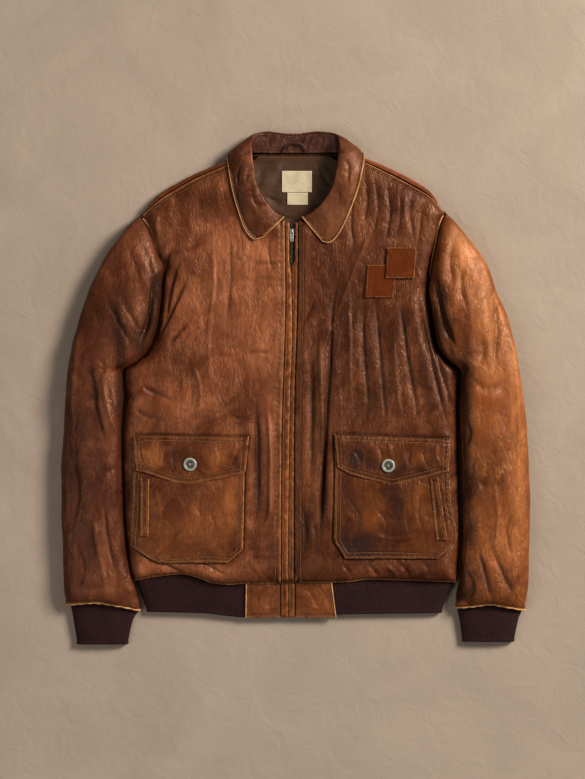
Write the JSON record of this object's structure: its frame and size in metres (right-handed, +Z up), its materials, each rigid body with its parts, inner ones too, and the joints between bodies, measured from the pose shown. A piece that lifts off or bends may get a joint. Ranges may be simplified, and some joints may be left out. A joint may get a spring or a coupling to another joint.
{
  "type": "worn leather jacket",
  "caption": "Worn leather flight jacket lying flat on its back, zip closed, with a pointed collar, flap pockets and knitted cuffs and hem.",
  "frame": {"origin": "on the surface that the jacket lies on, under the zip's line and half way between the neck and the cuffs' ends", "axes": "+X is the wearer's left, +Y runs from the hem to the collar, +Z is up from the surface"},
  "size_m": [0.7026, 0.769, 0.0454],
  "materials": {
    "leather": "worn, mottled, satin",
    "dark_leather": "worn, satin",
    "patch_leather": "brushed, matt",
    "knit": "ribbed wool knit",
    "lining": "satin weave",
    "label": "plain cotton tape, bare",
    "zip_tape": "woven tape",
    "zip_metal": "worn nickel",
    "button": "polished horn plastic"
  },
  "bodies": {
    "jacket": {"back_panel": "leather", "left_front": "leather", "right_front": "leather", "left_shoulder_strap": "leather", "right_shoulder_strap": "leather", "left_sleeve": "leather", "right_sleeve": "leather", "left_hem_tab": "leather", "right_hem_tab": "leather", "collar_fall": "leather", "left_pocket": "leather", "right_pocket": "leather", "left_flap": "leather", "right_flap": "leather", "left_side_welt": "leather", "right_side_welt": "leather", "left_zip_welt": "leather", "right_zip_welt": "leather", "collar_stand": "dark_leather", "hanger_loop": "dark_leather", "upper_patch": "patch_leather", "lower_patch": "patch_leather", "left_cuff": "knit", "right_cuff": "knit", "waist_rib": "knit", "back_lining": "lining", "main_label": "label", "size_tab": "label", "zip_chain": "zip_tape", "zip_slider": "zip_metal", "left_button": "button", "right_button": "button"},
    "zip_pull": {"zip_pull": "zip_metal"}
  },
  "joints": [
    {"name": "pull_hinge", "type": "hinge", "parent": "jacket", "child": "zip_pull", "pos_m": [-0.00115, 0.2343, 0.0254], "axis": [-1, 0, 0], "range_deg": [0, 160]}
  ]
}
